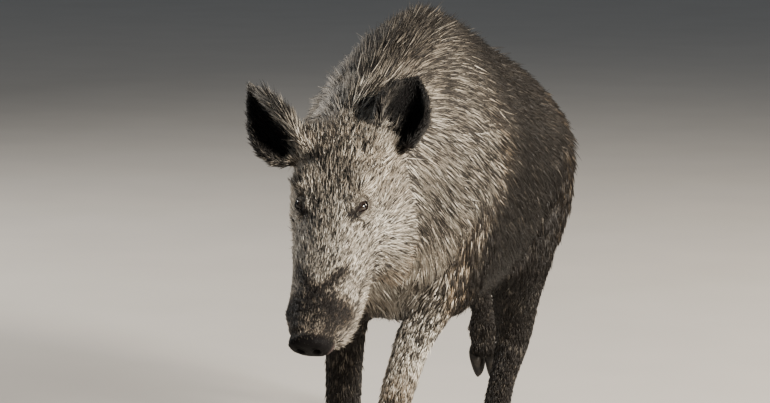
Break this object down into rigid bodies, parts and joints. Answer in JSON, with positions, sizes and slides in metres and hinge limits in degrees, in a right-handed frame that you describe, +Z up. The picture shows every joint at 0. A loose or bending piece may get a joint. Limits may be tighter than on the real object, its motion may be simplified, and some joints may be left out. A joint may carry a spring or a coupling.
{
  "type": "wild boar",
  "caption": "Life-size still model of a wild boar walking towards the viewer with a hind foot lifted, long grizzled coat and raised mane.",
  "frame": {"origin": "centre of the outline seen from above, on the floor", "axes": "+Z up, the head towards -Y, the animal's left side towards +X"},
  "size_m": [0.3568, 1.2614, 0.8944],
  "materials": {
    "coat_dark": "long black-brown bristle coat with grizzled tips",
    "coat_grey": "pale grizzled bristle coat",
    "coat_leg": "short black hair",
    "nose": "moist bare skin",
    "eye": "wet gloss",
    "hoof": "worn horn"
  },
  "bodies": {
    "root": {"trunk": "coat_dark", "neck": "coat_grey", "head": "coat_grey", "lower_jaw": "coat_grey", "snout_disc": "nose", "tail": "coat_dark", "ear_left": "coat_grey", "ear_right": "coat_grey", "eye_left": "eye", "eye_right": "eye", "front_left_upper_leg": "coat_leg", "front_left_lower_leg": "coat_leg", "front_left_hoof_inner": "hoof", "front_left_hoof_outer": "hoof", "front_left_dewclaw_inner": "hoof", "front_left_dewclaw_outer": "hoof", "front_right_upper_leg": "coat_leg", "front_right_lower_leg": "coat_leg", "front_right_hoof_inner": "hoof", "front_right_hoof_outer": "hoof", "front_right_dewclaw_inner": "hoof", "front_right_dewclaw_outer": "hoof", "hind_left_upper_leg": "coat_leg", "hind_left_lower_leg": "coat_leg", "hind_left_hoof_inner": "hoof", "hind_left_hoof_outer": "hoof", "hind_left_dewclaw_inner": "hoof", "hind_left_dewclaw_outer": "hoof", "hind_right_upper_leg": "coat_leg", "hind_right_lower_leg": "coat_leg", "hind_right_hoof_inner": "hoof", "hind_right_hoof_outer": "hoof", "hind_right_dewclaw_inner": "hoof", "hind_right_dewclaw_outer": "hoof"}
  },
  "joints": []
}
